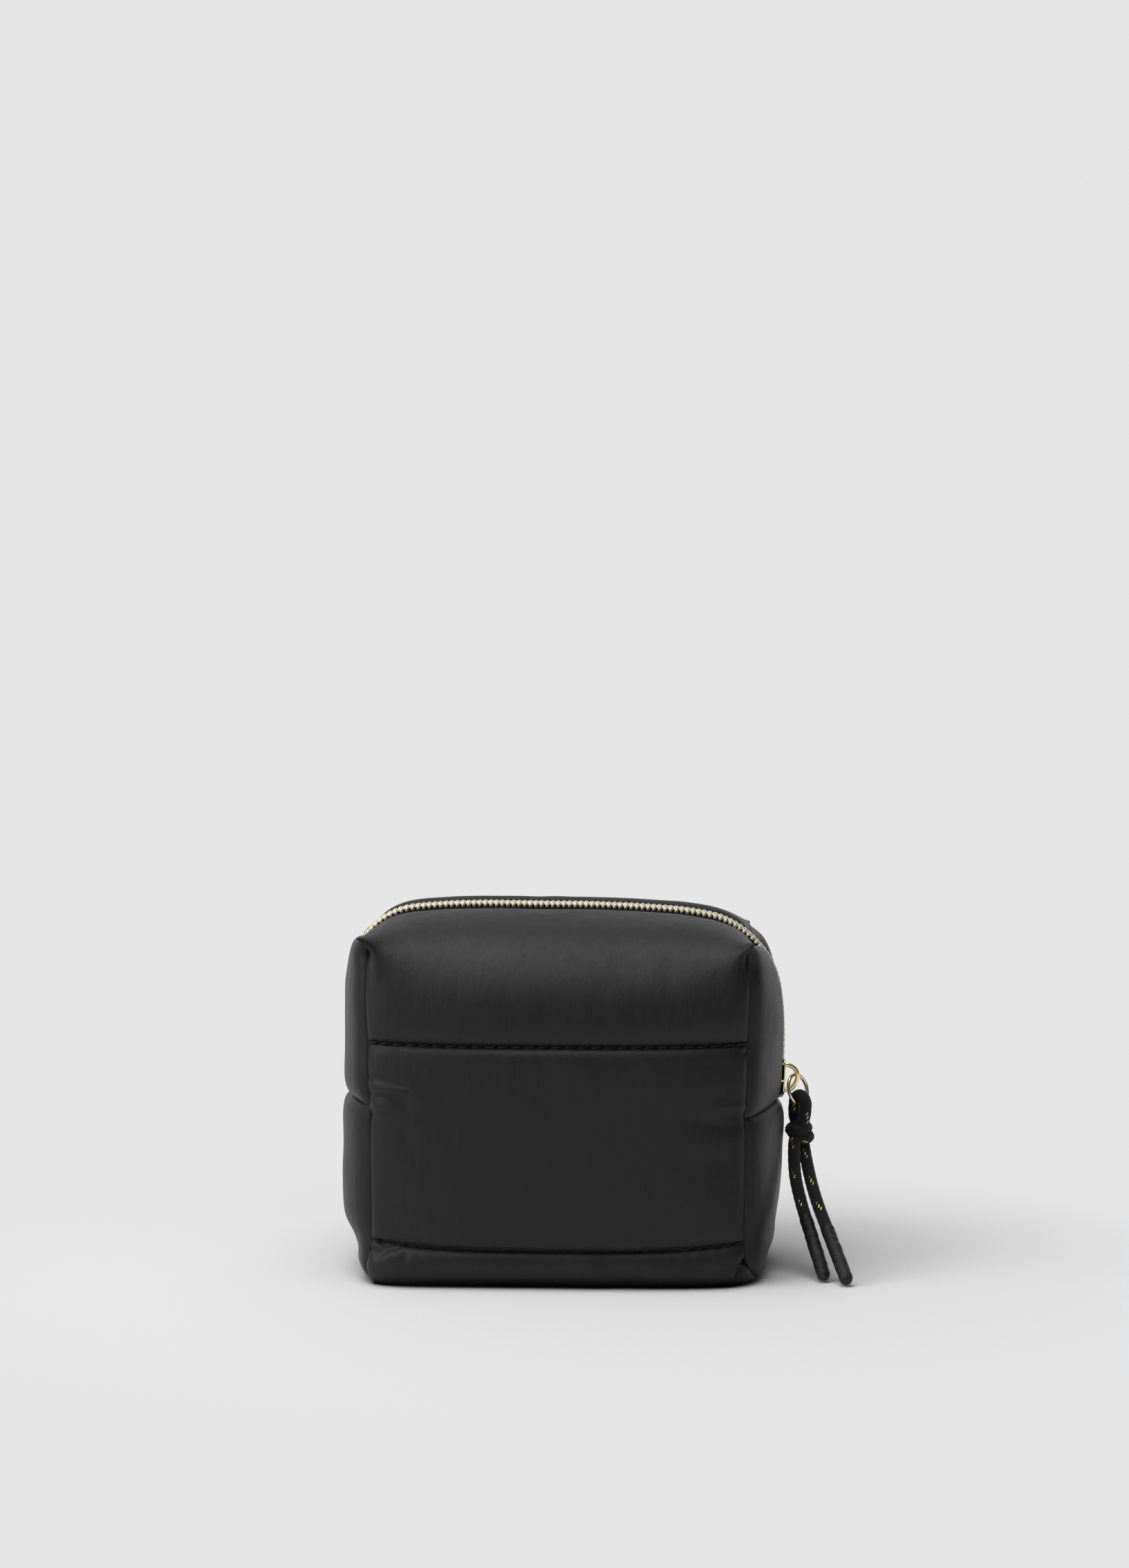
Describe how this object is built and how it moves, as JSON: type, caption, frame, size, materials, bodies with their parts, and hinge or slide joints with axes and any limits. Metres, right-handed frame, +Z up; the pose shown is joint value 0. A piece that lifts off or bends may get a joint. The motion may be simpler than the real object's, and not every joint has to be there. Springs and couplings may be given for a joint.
{
  "type": "padded zip case",
  "caption": "Small padded box-shaped fabric case that stands on a flat base, with quilted front and back, a metal zip over the top and down both ends, and a knotted cord pull.",
  "frame": {"origin": "on the floor under the middle of the base", "axes": "+Z up, front towards -Y, the zip runs along X, the slider is at the +X end"},
  "size_m": [0.1531, 0.0826, 0.1099],
  "materials": {
    "shell_fabric": "matte coated weave with a soft sheen",
    "wadding": "soft fibre",
    "lining": "smooth plain weave",
    "zip_tape": "woven tape",
    "zip_metal": "pale gold, polished",
    "hardware": "pale gold, polished",
    "cord": "braid with gold tracer threads",
    "cord_sleeve": "smooth, semi-matte"
  },
  "bodies": {
    "case": {"front_middle_cover": "shell_fabric", "front_lower_cover": "shell_fabric", "back_middle_cover": "shell_fabric", "back_lower_cover": "shell_fabric", "left_side_cover": "shell_fabric", "right_side_cover": "shell_fabric", "base_cover": "shell_fabric", "front_middle_wadding": "wadding", "front_lower_wadding": "wadding", "back_middle_wadding": "wadding", "back_lower_wadding": "wadding", "left_side_wadding": "wadding", "right_side_wadding": "wadding", "base_wadding": "wadding", "left_front_lower_strip": "shell_fabric", "left_back_lower_strip": "shell_fabric", "right_front_lower_strip": "shell_fabric", "right_back_lower_strip": "shell_fabric", "lining_bag": "lining", "left_zip_tape_end": "zip_tape", "left_zip_teeth_end": "zip_metal", "left_zip_stop": "zip_metal", "right_zip_tape_end": "zip_tape", "right_zip_teeth_end": "zip_metal", "right_zip_stop": "zip_metal"},
    "front_flap": {"front_upper_cover": "shell_fabric", "front_upper_wadding": "wadding", "front_flap_lining": "lining", "left_front_upper_strip": "shell_fabric", "right_front_upper_strip": "shell_fabric", "front_zip_tape": "zip_tape", "front_zip_teeth": "zip_metal"},
    "back_flap": {"back_upper_cover": "shell_fabric", "back_upper_wadding": "wadding", "back_flap_lining": "lining", "left_back_upper_strip": "shell_fabric", "right_back_upper_strip": "shell_fabric", "back_zip_tape": "zip_tape", "back_zip_teeth": "zip_metal"},
    "slider": {"slider_body": "hardware", "slider_bridge": "hardware"},
    "pull_ring": {"pull_ring": "hardware"},
    "pull_cord": {"cord_loop": "cord", "cord_knot": "cord", "cord_tail_left": "cord", "cord_tail_right": "cord", "cord_end_left": "cord_sleeve", "cord_end_right": "cord_sleeve"}
  },
  "joints": [
    {"name": "front_flap_fold", "type": "hinge", "parent": "case", "child": "front_flap", "pos_m": [0, -0.039, 0.071], "axis": [1, 0, 0], "range_deg": [0, 30]},
    {"name": "back_flap_fold", "type": "hinge", "parent": "case", "child": "back_flap", "pos_m": [0, 0.039, 0.071], "axis": [-1, 0, 0], "range_deg": [0, 30]},
    {"name": "slider_slide", "type": "slide", "parent": "case", "child": "slider", "axis": [0, 0, 1], "range_m": [0, 0.009], "deforming": ["right_zip_teeth_end"]},
    {"name": "ring_swing", "type": "hinge", "parent": "slider", "child": "pull_ring", "pos_m": [0.06905, 0, 0.057], "axis": [-0.6018, -0.7986, 0], "range_deg": [0, 80]},
    {"name": "cord_swing", "type": "hinge", "parent": "pull_ring", "child": "pull_cord", "pos_m": [0.07188, -0.00007, 0.04841], "axis": [-0.6018, -0.7986, 0], "range_deg": [0, 60]}
  ],
  "couplings": [
    {"joint": "back_flap_fold", "follows": "front_flap_fold", "ratio": 1}
  ]
}
